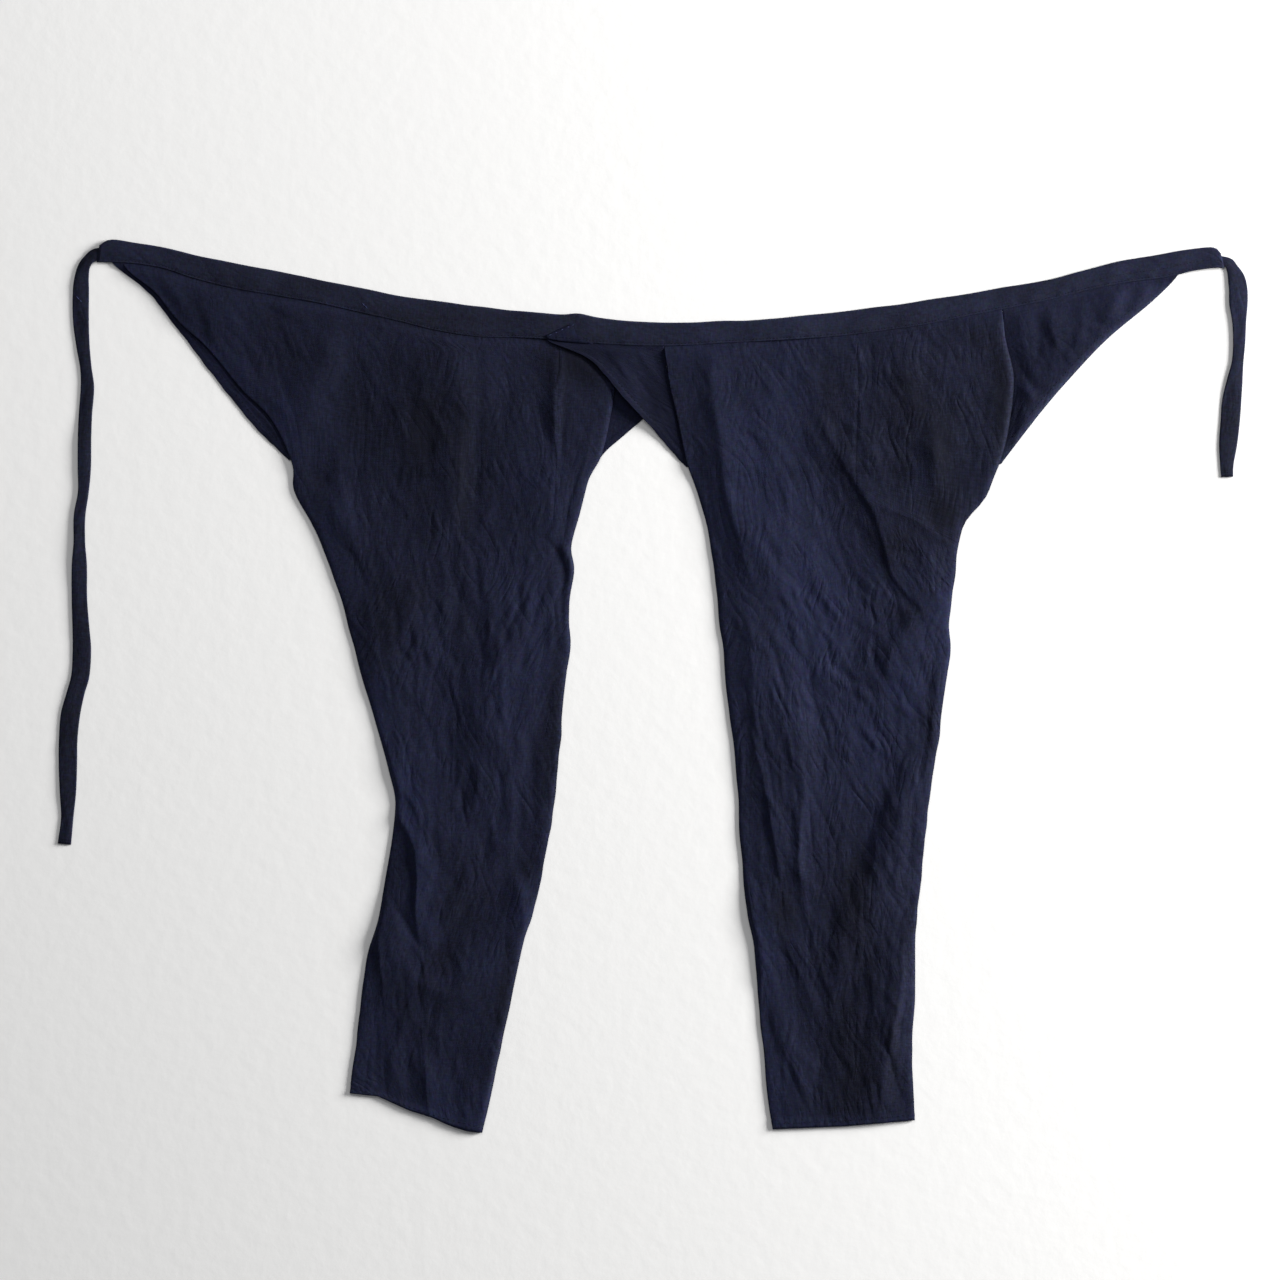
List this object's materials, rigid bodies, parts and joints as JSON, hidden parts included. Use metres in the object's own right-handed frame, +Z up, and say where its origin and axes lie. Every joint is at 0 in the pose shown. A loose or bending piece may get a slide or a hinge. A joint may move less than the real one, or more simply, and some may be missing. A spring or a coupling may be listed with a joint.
{
  "type": "momohiki trousers",
  "caption": "Close-fitting indigo cotton work trousers laid flat, with crossed open back wings, a waistband and a cloth tie at each of its ends.",
  "frame": {"origin": "middle of the garment's extent on the surface that it rests on", "axes": "+X along the waistband towards the garment's wearer-left side, +Y towards the waistband, +Z up from the surface"},
  "size_m": [1.1882, 0.8946, 0.0132],
  "materials": {
    "leg_cotton": "matte indigo-dyed plain weave cotton",
    "wing_cotton": "matte indigo-dyed plain weave cotton",
    "waist_cotton": "matte indigo-dyed plain weave cotton"
  },
  "bodies": {
    "root": {"left_leg": "leg_cotton", "right_leg": "leg_cotton", "left_seat_panel": "leg_cotton", "right_hip_panel": "leg_cotton", "left_front_wing": "wing_cotton", "left_back_wing": "wing_cotton", "right_front_wing": "wing_cotton", "right_back_wing": "wing_cotton", "turned_corner": "wing_cotton", "waistband": "waist_cotton", "long_tie": "waist_cotton", "short_tie": "waist_cotton"}
  },
  "joints": []
}
